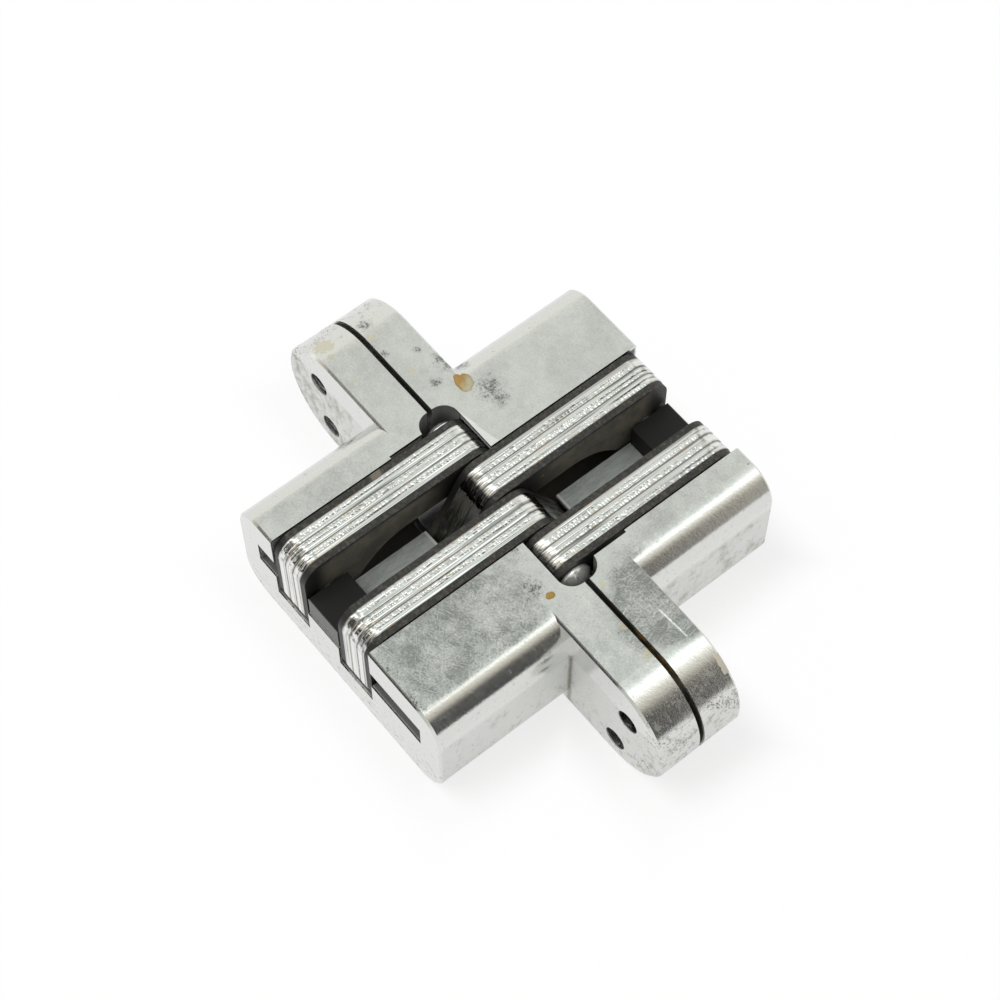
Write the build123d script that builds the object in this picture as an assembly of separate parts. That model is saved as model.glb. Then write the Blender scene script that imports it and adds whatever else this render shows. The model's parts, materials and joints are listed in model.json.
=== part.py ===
from build123d import *
from math import asin, atan2, cos, degrees, hypot, radians, sin, tan
import os

# Concealed door hinge, closed, lying on its knuckle side.
# X runs across the joint between the leaves, Y along the leaves, Z up to their rear sides.
# Leaf A is at -X. Leaf B and its links are leaf A and its links turned half a turn about Z.
# All sizes are in millimetres and all angles in degrees.

# Leaf casting
LEAF_LENGTH = 117.5
LEAF_WIDTH = 28.6
EAR_THICKNESS = 9.3
BODY_LENGTH = 63.2
BODY_DEPTH = 41.2
BODY_CORNER = 7.0
EDGE_CHAMFER = 0.5
FACE_GAP = 1.2
CHANNEL_FLOOR = 8.0
RIB_END = 12.6
FRONT_LIP = 8.3
RECESS_DEPTH = 4.4
RECESS_HALF_LENGTH = 24.2
RECESS_CORNER = 3.5
MOUTH_STEP = 0.6
MOUTH_STEP_LENGTH = 12.5

# Screw holes in the ears, from the middle of the leaf and from its front side
SCREW_HOLE_D = 5.3
SCREW_HEAD_D = 10.2
SCREW_HEAD_ANGLE = 82.0
UPPER_SCREW_Y = 48.3
UPPER_SCREW_Z = 18.5
LOWER_SCREW_Y = 45.4
LOWER_SCREW_Z = 5.9

# Links
LAMINATION = 2.3
LAMINATION_COUNT = 3
LAMINATION_CHAMFER = 0.3
SIDE_PLATE = 1.4
LINK_BOSS_R = 5.1
TAIL_R = 4.4
LOBE_R = 5.2
END_CORNER = 4.5
HEEL_CORNER = 1.5
ARM_DEPTH = 7.8
ARCH_R = 14.0
ARCH_FROM_SLIDE = 19.75
CROOK_R = 6.0

# Pins and slide block
CENTRE_PIN_D = 6.0
CENTRE_HEAD_D = 7.6
CENTRE_HEAD_HEIGHT = 2.6
CENTRE_NECK = 0.7
FIXED_PIN_D = 5.0
FIXED_PIN_LENGTH = 48.0
FIXED_PIN_X = 11.6
SLIDE_PIN_D = 3.8
SLIDE_PIN_LENGTH = 50.4
SLIDE_PIN_Z = 17.2
GUIDE_HEIGHT = 6.0
BLOCK_LENGTH = 9.5

# Motion: full opening, and the share of it that a link makes about its fixed pin
OPEN_ANGLE = 180.0
LINK_SHARE = 0.612
GUIDE_MID_ANGLE = 75.0

# Clearances
LINK_GAP = 0.4
SIDE_GAP = 0.35
TAIL_GAP = 0.35
END_GAP = 0.35
HEEL_GAP = 1.0
PIN_FIT = 0.05
SEAT_FIT = 0.05
PIN_END_GAP = 0.4
HEAD_GAP = 0.15
BLOCK_GAP = 0.2

# Levels and places that follow from the sizes above
FACE_X = -FACE_GAP / 2
BACK_X = FACE_X - BODY_DEPTH
PAST = 1.0
LINK_WIDTH = LAMINATION_COUNT * LAMINATION + 2 * SIDE_PLATE
PITCH = LINK_WIDTH + LINK_GAP
LINK_END_X = BACK_X + END_GAP
CENTRE = (0.0, LEAF_WIDTH - LINK_BOSS_R)
FIXED = (-FIXED_PIN_X, TAIL_R + TAIL_GAP)
SLIDE = (LINK_END_X + LOBE_R, SLIDE_PIN_Z)
GUIDE_FLOOR = SLIDE_PIN_Z - GUIDE_HEIGHT / 2
SEAT_R = FIXED_PIN_D / 2 + SEAT_FIT
A_LINK_YS = (1.5 * PITCH, -0.5 * PITCH)
OUTER_Y = A_LINK_YS[0] + LINK_WIDTH / 2


def polar(center, radius, angle):
    """Point at an angle on a circle."""
    turn = radians(angle)
    return (center[0] + radius * cos(turn), center[1] + radius * sin(turn))


def arc(center, radius, start, end):
    """Arc about a centre from one angle to another."""
    return CenterArc(center, radius, start, end - start)


def heading(start, end):
    """Angle and length of the way from one point to another."""
    run = end[0] - start[0]
    rise = end[1] - start[1]
    return degrees(atan2(rise, run)), hypot(run, rise)


def turned(point, pivot, angle):
    """Point turned clockwise about a pivot, the way the hinge opens."""
    way, length = heading(pivot, point)
    return polar(pivot, length, way - angle)


def mirrored(point):
    """The same place seen in the other leaf."""
    return (-point[0], point[1])


def slab(face, low_y, high_y):
    """Solid between two planes across Y, from a face drawn in X and Z."""
    return extrude(Plane.XZ.offset(-high_y) * face, high_y - low_y)


def polygon(*points):
    """Face with straight sides through the points."""
    return make_face(Polyline(*points, close=True))


def block(low, high):
    """Upright face between two corners in X and Z."""
    width = high[0] - low[0]
    height = high[1] - low[1]
    return Pos(low[0] + width / 2, low[1] + height / 2) * Rectangle(width, height)


def rod(center, radius, low_y, high_y):
    """Round rod along Y."""
    return slab(Pos(*center) * Circle(radius), low_y, high_y)


def facing_leaf(solid):
    """The same piece in leaf B: half a turn about Z."""
    return Rot(0, 0, 180) * solid


def tail_angle():
    """Angle of the tail's outer tangent points, on the tail of a B link in leaf A."""
    way, length = heading(CENTRE, FIXED)
    spread = 90 - degrees(asin((LINK_BOSS_R - TAIL_R) / length))
    return way - spread


def link_face():
    """Outline of an A link: arm along the rear side, leg at the slide pin, arch, and tail into leaf B."""
    rear = LEAF_WIDTH
    under = rear - ARM_DEPTH
    heel = CHANNEL_FLOOR + HEEL_GAP
    corner = (LINK_END_X + END_CORNER, rear - END_CORNER)
    heel_corner = (LINK_END_X + HEEL_CORNER, heel + HEEL_CORNER)
    lobe = (SLIDE[0], heel + LOBE_R)
    arch = (SLIDE[0] + ARCH_FROM_SLIDE, under - ARCH_R)
    foot = mirrored(FIXED)

    # Straight flank from the leg's lobe to the arch, tangent to both
    way, length = heading(lobe, arch)
    flank = way + degrees(asin((LOBE_R + ARCH_R) / length))

    # Two straight flanks of the tail, tangent to the boss and the foot
    way, length = heading(CENTRE, foot)
    spread = 90 - degrees(asin((LINK_BOSS_R - TAIL_R) / length))
    inner = way - spread
    outer = way + spread

    # The crook rounds the corner between the underside of the arm and the inner flank of the tail
    drop = -(inner + 90)
    flank_top = polar(CENTRE, LINK_BOSS_R, inner)
    corner_x = flank_top[0] - (under - flank_top[1]) / tan(radians(drop))
    crook = (corner_x - CROOK_R * tan(radians(drop / 2)), under - CROOK_R)

    edges = [
        Line((CENTRE[0], rear), (corner[0], rear)),
        arc(corner, END_CORNER, 90, 180),
        Line((LINK_END_X, corner[1]), (LINK_END_X, heel_corner[1])),
        arc(heel_corner, HEEL_CORNER, 180, 270),
        Line((heel_corner[0], heel), (lobe[0], heel)),
        arc(lobe, LOBE_R, 270, flank + 270),
        Line(polar(lobe, LOBE_R, flank - 90), polar(arch, ARCH_R, flank + 90)),
        arc(arch, ARCH_R, flank + 90, 90),
        Line((arch[0], under), (crook[0], under)),
        arc(crook, CROOK_R, 90, 90 - drop),
        Line(polar(crook, CROOK_R, 90 - drop), polar(foot, TAIL_R, inner)),
        arc(foot, TAIL_R, inner, outer),
        Line(polar(foot, TAIL_R, outer), polar(CENTRE, LINK_BOSS_R, outer)),
        arc(CENTRE, LINK_BOSS_R, outer, 90),
    ]
    face = make_face(edges)
    face -= Pos(*CENTRE) * Circle(CENTRE_PIN_D / 2 + PIN_FIT)
    face -= Pos(*foot) * Circle(FIXED_PIN_D / 2 + PIN_FIT)
    face -= Pos(*SLIDE) * Circle(SLIDE_PIN_D / 2 + PIN_FIT)
    return face


def lamination(face, middle_y):
    """One stamped lamination. The outline of its punch side is rolled over."""
    plate = slab(face, middle_y - LAMINATION / 2, middle_y + LAMINATION / 2)
    punch_side = plate.faces().sort_by(Axis.Y)[-1]
    return chamfer(punch_side.outer_wire().edges(), LAMINATION_CHAMFER)


def link(face, middle_y):
    """Pieces of one link from +Y to -Y: side plate, laminations, side plate."""
    high = middle_y + LINK_WIDTH / 2
    low = middle_y - LINK_WIDTH / 2
    pack_top = high - SIDE_PLATE
    pieces = [slab(face, pack_top, high)]
    for index in range(LAMINATION_COUNT):
        pieces.append(lamination(face, pack_top - (index + 0.5) * LAMINATION))
    pieces.append(slab(face, low, low + SIDE_PLATE))
    return pieces


def leaf_blank():
    """Casting before its pocket is cut: long face plate with half-round ears, and a deep body."""
    face_plane = Plane.YZ.offset(FACE_X)
    middle = Pos(0, LEAF_WIDTH / 2)
    ears = extrude(face_plane * (middle * SlotOverall(LEAF_LENGTH, LEAF_WIDTH)), -EAR_THICKNESS)
    body = extrude(face_plane * (middle * RectangleRounded(BODY_LENGTH, LEAF_WIDTH, BODY_CORNER)), -BODY_DEPTH)
    ears = chamfer(ears.faces().sort_by(Axis.X)[0].edges(), EDGE_CHAMFER)
    body = chamfer(body.faces().sort_by(Axis.X)[0].edges(), EDGE_CHAMFER)
    return ears + body


def arm_channels():
    """Open channels for the two A links, down to a floor and out through the front lip."""
    profile = polygon(
        (BACK_X - PAST, CHANNEL_FLOOR),
        (FIXED[0], CHANNEL_FLOOR),
        (FIXED[0], FIXED[1]),
        (-FRONT_LIP, FIXED[1]),
        (-FRONT_LIP, -PAST),
        (PAST, -PAST),
        (PAST, LEAF_WIDTH + PAST),
        (BACK_X - PAST, LEAF_WIDTH + PAST),
    )
    half = LINK_WIDTH / 2 + SIDE_GAP
    return [slab(profile, middle - half, middle + half) for middle in A_LINK_YS]


def tail_sweep():
    """Room for the tail of a B link: round its foot, along its closed place, and open to the front."""
    reach = TAIL_R + TAIL_GAP
    foot_round = Pos(*FIXED) * Circle(reach)
    front = block((FIXED[0] - reach, -PAST), (PAST, FIXED[1]))
    lean = tail_angle()
    closed = polygon(
        polar(FIXED, reach, lean),
        polar(CENTRE, LINK_BOSS_R + TAIL_GAP, lean),
        (-RECESS_DEPTH, LEAF_WIDTH),
        (-RECESS_DEPTH, LEAF_WIDTH + PAST),
        (PAST, LEAF_WIDTH + PAST),
        (PAST, FIXED[1]),
        FIXED,
    )
    return foot_round + front + closed


def tail_channel():
    """Channel of the middle B tail. The rib that is left behind it carries the slide block."""
    over_foot = block((-RIB_END, FIXED[1]), (PAST, LEAF_WIDTH + PAST))
    over_rib = block((BACK_X - PAST, GUIDE_FLOOR), (PAST, LEAF_WIDTH + PAST))
    middle = (A_LINK_YS[0] + A_LINK_YS[1]) / 2
    half = LINK_WIDTH / 2 + SIDE_GAP
    return slab(tail_sweep() + over_foot + over_rib, middle - half, middle + half)


def tail_hollow():
    """Hollow of the outer B tail under the rear wall."""
    middle = A_LINK_YS[1] - PITCH
    half = LINK_WIDTH / 2 + SIDE_GAP
    return slab(tail_sweep(), middle - half, middle + half)


def head_recess():
    """Recess in the mouth for the centre pin's domed heads, with rounded inner corners."""
    floor = CENTRE[1] - CENTRE_HEAD_D / 2 - END_GAP
    deep = 2 * RECESS_DEPTH
    outline = RectangleRounded(deep, 2 * RECESS_HALF_LENGTH, RECESS_CORNER)
    return extrude(Plane.XY.offset(floor) * outline, LEAF_WIDTH + PAST - floor)


def mouth_relief():
    """Shallow step beside the outer A link, where it leaves the mouth."""
    low = OUTER_Y
    profile = block((-MOUTH_STEP_LENGTH, -PAST), (PAST, LEAF_WIDTH + PAST))
    return slab(profile, low, low + SIDE_GAP + MOUTH_STEP)


def slide_place(opening):
    """Where the slide pin is in leaf A when the hinge is open by an angle."""
    centre = turned(CENTRE, FIXED, LINK_SHARE * opening)
    way, length = heading(CENTRE, SLIDE)
    return polar(centre, length, way - (1 - LINK_SHARE) * opening)


def guide_slot():
    """Arched slot in both side walls for the ends of the slide pin, open at the back."""
    path = ThreePointArc(slide_place(0), slide_place(GUIDE_MID_ANGLE), slide_place(OPEN_ANGLE))
    arched = SlotArc(path, GUIDE_HEIGHT)
    entry = block((BACK_X - PAST, GUIDE_FLOOR), (SLIDE[0], GUIDE_FLOOR + GUIDE_HEIGHT))
    half = SLIDE_PIN_LENGTH / 2 + PIN_END_GAP
    return slab(arched + entry, -half, half)


def fixed_pin_seat():
    """Slot from the mouth to the round seat of the fixed pin."""
    half = FIXED_PIN_LENGTH / 2 + PIN_END_GAP
    entry = block((FIXED[0], FIXED[1] - SEAT_R), (PAST, FIXED[1] + SEAT_R))
    return slab(entry + Pos(*FIXED) * Circle(SEAT_R), -half, half)


def screw_holes():
    """Four countersunk holes through the ears, heads on the gap face."""
    holes = []
    for across, up in ((UPPER_SCREW_Y, UPPER_SCREW_Z), (LOWER_SCREW_Y, LOWER_SCREW_Z)):
        for side in (1, -1):
            place = Location((FACE_X, side * across, up), (0, 90, 0))
            holes.append(place * CounterSinkHole(
                SCREW_HOLE_D / 2, SCREW_HEAD_D / 2, EAR_THICKNESS + PAST, SCREW_HEAD_ANGLE))
    return holes


def leaf():
    """Leaf A, one casting."""
    cuts = [*arm_channels(), tail_channel(), tail_hollow(), head_recess(), mouth_relief()]
    cuts += [guide_slot(), fixed_pin_seat(), *screw_holes()]
    return leaf_blank() - cuts


def centre_pin():
    """Pin through all four links, with a domed head at each end."""
    grip = OUTER_Y + HEAD_GAP
    shank = CENTRE_PIN_D / 2
    rim = CENTRE_HEAD_D / 2
    neck = grip + CENTRE_NECK
    crown = grip + CENTRE_HEAD_HEIGHT
    dome = CENTRE_HEAD_HEIGHT - CENTRE_NECK
    ball = (rim**2 + dome**2) / (2 * dome)
    swell = polar((0, crown - ball), ball, 90 - degrees(asin(rim / ball)) / 2)
    edges = [
        Line((0, -crown), (0, crown)),
        ThreePointArc((0, crown), swell, (rim, neck)),
        Polyline((rim, neck), (rim, grip), (shank, grip), (shank, -grip), (rim, -grip), (rim, -neck)),
        ThreePointArc((rim, -neck), (swell[0], -swell[1]), (0, -crown)),
    ]
    return Pos(CENTRE[0], 0, CENTRE[1]) * revolve(make_face(edges), Axis.Y)


def pin(center, diameter, length):
    """Plain pin along Y with broken ends."""
    bare = rod(center, diameter / 2, -length / 2, length / 2)
    return chamfer(bare.edges().filter_by(GeomType.CIRCLE), EDGE_CHAMFER)


def slide_block():
    """Block between the two A links, on the slide pin and over the rib, as high as the guide slot."""
    low = (LINK_END_X, GUIDE_FLOOR + BLOCK_GAP)
    high = (LINK_END_X + BLOCK_LENGTH, GUIDE_FLOOR + GUIDE_HEIGHT)
    face = block(low, high)
    face -= Pos(*SLIDE) * Circle(SLIDE_PIN_D / 2 + PIN_FIT)
    middle = (A_LINK_YS[0] + A_LINK_YS[1]) / 2
    half = LINK_WIDTH / 2 - BLOCK_GAP
    return slab(face, middle - half, middle + half)


def pieces():
    """Every piece by its node name."""
    named = {"centre_pin": centre_pin()}
    own = {
        "leaf": leaf(),
        "fixed_pin": pin(FIXED, FIXED_PIN_D, FIXED_PIN_LENGTH),
        "slide_pin": pin(SLIDE, SLIDE_PIN_D, SLIDE_PIN_LENGTH),
        "slide_block": slide_block(),
    }
    face = link_face()
    for number, middle in enumerate(A_LINK_YS, start=1):
        upper, *pack, lower = link(face, middle)
        own[f"link{number}_side_plate_1"] = upper
        own[f"link{number}_side_plate_2"] = lower
        for index, plate in enumerate(pack, start=1):
            own[f"link{number}_lamination_{index}"] = plate
    for name, solid in own.items():
        named[f"{name}_a"] = solid
        named[f"{name}_b"] = facing_leaf(solid)
    return named


os.makedirs("parts", exist_ok=True)
for node, solid in pieces().items():
    export_step(solid, f"parts/{node}.step")
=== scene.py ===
import json
import math

import bpy
import numpy as np
from bpy.props import FloatProperty, FloatVectorProperty, PointerProperty
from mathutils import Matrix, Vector


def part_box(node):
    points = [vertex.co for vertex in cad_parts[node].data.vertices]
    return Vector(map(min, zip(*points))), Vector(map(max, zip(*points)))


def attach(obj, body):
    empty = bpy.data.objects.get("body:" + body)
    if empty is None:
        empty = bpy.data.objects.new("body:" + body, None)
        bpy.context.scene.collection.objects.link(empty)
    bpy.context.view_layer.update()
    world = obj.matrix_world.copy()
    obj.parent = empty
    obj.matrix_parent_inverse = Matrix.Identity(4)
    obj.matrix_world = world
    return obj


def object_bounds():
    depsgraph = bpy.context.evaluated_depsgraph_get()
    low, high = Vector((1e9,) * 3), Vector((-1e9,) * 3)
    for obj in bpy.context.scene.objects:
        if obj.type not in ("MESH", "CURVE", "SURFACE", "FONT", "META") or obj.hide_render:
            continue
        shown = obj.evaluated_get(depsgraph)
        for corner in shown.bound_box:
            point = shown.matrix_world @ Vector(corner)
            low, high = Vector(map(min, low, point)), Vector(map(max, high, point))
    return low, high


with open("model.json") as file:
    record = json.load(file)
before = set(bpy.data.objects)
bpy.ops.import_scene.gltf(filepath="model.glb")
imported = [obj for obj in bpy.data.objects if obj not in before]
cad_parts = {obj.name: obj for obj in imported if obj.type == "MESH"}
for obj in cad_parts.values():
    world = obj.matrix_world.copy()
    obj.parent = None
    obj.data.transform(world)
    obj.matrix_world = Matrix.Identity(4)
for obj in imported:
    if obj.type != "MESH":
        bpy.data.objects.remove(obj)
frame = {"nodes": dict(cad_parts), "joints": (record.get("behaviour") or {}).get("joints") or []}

bl_info = {
    "name": "Concealed Door Hinge",
    "version": (1, 0, 0),
    "blender": (4, 5, 0),
    "location": "View3D > Sidebar > Hinge",
    "description": "Finishes the pieces of a concealed door hinge and sets it on a pale studio floor",
    "category": "Object",
}

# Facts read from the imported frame, with lengths in metres
CAD_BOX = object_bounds()
NODES = frame["nodes"]
JOINTS = {joint["name"]: joint for joint in frame["joints"]}
CENTRE_PIN = Vector(JOINTS["links_a_on_links_b"]["pos_m"])
REAR = CAD_BOX[1].z

# Leaf A and its links lie at -X; leaf B is the same turned half a turn about Z
SIDES = {"a": 1.0, "b": -1.0}
LINKS = (1, 2)
LAMINATIONS = (1, 2, 3)
SIDE_PLATES = (1, 2)
MM = 0.001
PER_METRE = 1000.0

# Places on a leaf in millimetres, from the middle of the hinge outwards and from the floor up
REAR_SIDE = REAR * PER_METRE
LEAF_END = CAD_BOX[1].x * PER_METRE
EAR_END = CAD_BOX[1].y * PER_METRE
EAR_RADIUS = REAR_SIDE / 2
EAR_CENTRE = EAR_END - EAR_RADIUS
EAR_BACK = 9.9
BODY_SIDE = 31.6
GAP_FACE = 0.6
RECESS_SIDE = 4.4
RECESS_END = 24.2
RIB_END = 12.6
RIB_TOP = 14.2
SLOT_END = 25.6
# Screw holes by Y and height, and how far from their middles the turned walls reach
SCREW_HOLES = ((48.3, 18.5), (45.4, 5.9))
HOLE_REACH = 4.6

# Marks on the rear side, in millimetres. Glue drops: leaf, X, Y, two radii and height.
GLUE_DROPS = (
    ("b", 9.5, 25.2, 1.8, 2.7, 0.5),
    ("a", -7.5, -22.3, 1.0, 0.9, 0.2),
)
# Stains and smudges: X and Y, and radius
STAINS = (
    ((1.5, 45.1), 1.1),
    ((3.0, 33.5), 0.9),
    ((1.6, -26.7), 0.9),
    ((-1.0, -35.9), 1.1),
    ((-1.3, -43.2), 1.2),
    ((-6.6, 50.2), 2.6),
    ((-7.4, 46.6), 0.9),
    ((-6.9, 38.8), 0.6),
)
SMUDGES = (
    ((12.9, 20.8), 4.6),
    ((12.6, 17.6), 3.0),
    ((9.3, 32.6), 2.4),
    ((9.4, 30.2), 2.0),
    ((12.2, 29.6), 2.6),
    ((5.2, 28.8), 2.0),
    ((7.0, 37.0), 1.4),
    ((2.5, 48.5), 2.4),
    ((1.4, 40.5), 1.4),
    ((-9.0, -19.0), 3.2),
    ((-7.0, -10.6), 1.6),
)
# Handled places: X and Y, radius and strength
HANDLED = (
    ((-26.0, -18.0), 21.0, 1.0),
    ((9.0, -36.0), 14.0, 1.3),
    ((24.0, -26.0), 14.0, 0.3),
    ((-26.0, 26.0), 16.0, 0.25),
    ((-12.0, 45.0), 14.0, 0.15),
    ((-8.0, -40.0), 14.0, 0.3),
)
# A deep scratch on leaf B's near ear, leaning away from the gap, and a smear on the edge of a side plate
SCRATCH_START = (6.5, -37.6)
SCRATCH_LEAN = 0.06
SMEAR = ((-17.0, 19.3), 1.5)
# Fine scratches on the rear side run in these directions, in degrees from X
HATCH_ANGLES = (12, 66, 101, 149)

# Stamped edges: points over the thickness, depth of their sides in the steel in crowns, points that smooth
# a change along the edge, how beaded each side's links are, and where rows of beads run over the thickness
EDGE_POINTS = 31
EDGE_SUNK = -2.0
SMOOTHING_POINTS = 15
BEADING = {"a": 0.9, "b": 0.55}
BEAD_ROWS = (-0.05, 0.1, 0.0)

# What polished metal shows of the studio, by a direction's share towards the near side of the room:
# far wall, soft box overhead, plain near side. Scaled by ROOM_PEAK.
NEAR_SIDE = (-0.74, -0.67, 0.0)
ROOM_PEAK = 2.0
ROOM = (
    (-1.00, (1.02, 1.02, 0.98)),
    (-0.70, (1.00, 1.01, 0.96)),
    (-0.60, (0.88, 0.89, 0.84)),
    (-0.44, (0.70, 0.72, 0.69)),
    (-0.34, (0.88, 0.93, 0.90)),
    (-0.26, (1.80, 1.95, 1.92)),
    (-0.10, (1.90, 1.95, 1.86)),
    (-0.02, (1.05, 1.03, 0.97)),
    (0.08, (0.80, 0.76, 0.67)),
    (0.20, (0.64, 0.60, 0.52)),
    (0.34, (0.62, 0.60, 0.56)),
    (0.55, (0.70, 0.71, 0.68)),
    (1.00, (0.74, 0.75, 0.71)),
)
# Two black screens low in the studio, which darken the rounded edges: azimuth in degrees, then how far its
# middle lies to the right, seen from there, and half its width, as shares of the distance
SCREENS = (
    (0.0, 0.26, 0.07),
    (-90.0, -0.34, 0.08),
)
SCREEN_SHADE = (0.045, 0.045, 0.049)
SCREEN_TOP = (0.44, 0.74)
SCREEN_SOFTNESS = 0.06
# Soft lights: azimuth and elevation in degrees, distance and width in metres
KEY_LIGHT = (-128.0, 58.0, 0.9, 0.7)
FILL_LIGHT = (60.0, 50.0, 1.0, 0.8)


class Value:
    """A shader socket that takes part in Python arithmetic. Each operation adds one Math node."""

    def __init__(self, paint, socket):
        self.paint = paint
        self.socket = socket

    def __add__(self, other):
        return self.paint.math("ADD", self, other)

    __radd__ = __add__

    def __sub__(self, other):
        return self.paint.math("SUBTRACT", self, other)

    def __rsub__(self, other):
        return self.paint.math("SUBTRACT", other, self)

    def __mul__(self, other):
        return self.paint.math("MULTIPLY", self, other)

    __rmul__ = __mul__

    def __pow__(self, other):
        return self.paint.math("POWER", self, other)

    def __abs__(self):
        return self.paint.math("ABSOLUTE", self)


class Paint:
    """Builds one node tree. Every node is made by add()."""

    def __init__(self, tree):
        self.tree = tree
        tree.nodes.clear()

    def add(self, kind, settings=None, inputs=None, output=0):
        """One node of a type: its settings are set first, then its sockets are filled or linked."""
        node = self.tree.nodes.new(kind)
        for name, setting in (settings or {}).items():
            if name == "stops":
                self.set_stops(node.color_ramp.elements, setting)
            else:
                setattr(node, name, setting)
        for key, value in (inputs or {}).items():
            if isinstance(value, Value):
                self.tree.links.new(value.socket, node.inputs[key])
            else:
                node.inputs[key].default_value = value
        return Value(self, node.outputs[output]) if len(node.outputs) else None

    @staticmethod
    def set_stops(elements, stops):
        """Colours of a ramp at their places from 0 to 1."""
        for place, _ in stops[1:-1]:
            elements.new(place)
        for element, (place, color) in zip(elements, stops):
            element.position = place
            element.color = color

    def math(self, operation, first, second=0.0):
        """First and second joined by one Math operation."""
        return self.add("ShaderNodeMath", {"operation": operation}, {0: first, 1: second})

    def vector_math(self, operation, first, second, output=0):
        """Vectors first and second joined by one Vector Math operation."""
        return self.add("ShaderNodeVectorMath", {"operation": operation}, {0: first, 1: second}, output)

    def fade(self, value, low, high):
        """Smooth step from 0 at low to 1 at high."""
        ends = {"Value": value, "From Min": low, "From Max": high}
        return self.add("ShaderNodeMapRange", {"interpolation_type": "SMOOTHSTEP"}, ends)

    def band(self, value, start, full, falling, end):
        """1 from full to falling, with smooth steps to 0 at start and at end."""
        return self.fade(value, start, full) * (1 - self.fade(value, falling, end))

    def hypot(self, first, second):
        """Long side of a right triangle whose short sides are first and second."""
        return (first * first + second * second) ** 0.5

    def noise(self, place, scale, detail=2.0, roughness=0.5, seed=0.0):
        """Soft noise about 0.5."""
        values = {"Vector": place, "W": seed, "Scale": scale, "Detail": detail, "Roughness": roughness}
        return self.add("ShaderNodeTexNoise", {"noise_dimensions": "4D"}, values)

    def stretch(self, place, factors):
        """Place with each axis multiplied by its own factor."""
        return self.vector_math("MULTIPLY", place, factors)

    def dot(self, direction, axis):
        """Share of a direction along an axis."""
        return self.vector_math("DOT_PRODUCT", direction, axis, "Value")

    def mix(self, factor, first, second):
        """Colour between first and second."""
        return self.add("ShaderNodeMix", {"data_type": "RGBA"}, {0: factor, 6: first, 7: second}, 2)

    def millimetres(self):
        """Place on the piece in millimetres."""
        place = self.add("ShaderNodeTexCoord", output="Object")
        return self.stretch(place, (PER_METRE, PER_METRE, PER_METRE))

    def axis(self, place, name):
        """X, Y or Z of a place."""
        return self.add("ShaderNodeSeparateXYZ", None, {0: place}, name)

    def hatch(self, x, y, angle, seed):
        """Short fine scratches in one direction over the rear side: a noise drawn out along it."""
        turn = math.radians(angle)
        along = x * math.cos(turn) + y * math.sin(turn)
        across = y * math.cos(turn) - x * math.sin(turn) + 0.012 * along * along
        drawn = self.add("ShaderNodeCombineXYZ", None, {0: 0.22 * along, 1: 3.4 * across, 2: seed})
        return self.fade(self.noise(drawn, 1.0, 1.0, 0.5, seed), 0.56, 0.74)

    def specks(self, place, scale, radius, share, seed):
        """Small round dots: near the centres of some of the cells of a random grid."""
        cells = {"Vector": self.vector_math("ADD", place, (seed, seed, seed)), "Scale": scale}
        near = self.add("ShaderNodeTexVoronoi", None, cells, "Distance")
        tint = self.add("ShaderNodeTexVoronoi", None, cells, "Color")
        chosen = self.fade(tint, 1 - share, 1.02 - share)
        return (1 - self.fade(near, 0.4 * radius, radius)) * chosen

    def spot(self, x, y, center, radius, ragged, core=0.6):
        """1 over the core of a place on the rear side, 0 past a radius that a noise makes uneven."""
        far = self.hypot(x - center[0], y - center[1]) + 1.6 * radius * (ragged - 0.5)
        return 1 - self.fade(far, core * radius, radius)

    def largest(self, values):
        """Largest of several values."""
        first, *rest = values
        for value in rest:
            first = self.math("MAXIMUM", first, value)
        return first

    def bump(self, height, depth, strength):
        """Normal of a height field whose full range is a depth in millimetres."""
        sockets = {"Height": height, "Distance": depth * MM, "Strength": strength}
        return self.add("ShaderNodeBump", None, sockets)


def new_material(name):
    """Empty node material and its Paint."""
    material = bpy.data.materials.new(name)
    material.use_nodes = True
    return material, Paint(material.node_tree)


def surface(paint, **sockets):
    """Principled surface with these sockets, named with underscores, as the material's output."""
    inputs = {name.replace("_", " "): value for name, value in sockets.items()}
    shader = paint.add("ShaderNodeBsdfPrincipled", None, inputs)
    paint.add("ShaderNodeOutputMaterial", None, {"Surface": shader})


def rgba(color):
    """Colour with full alpha, as node sockets take it."""
    return (*color, 1.0)


def clad(node, material):
    """Gives a CAD node one material."""
    node.data.materials.clear()
    node.data.materials.append(material)


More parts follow.
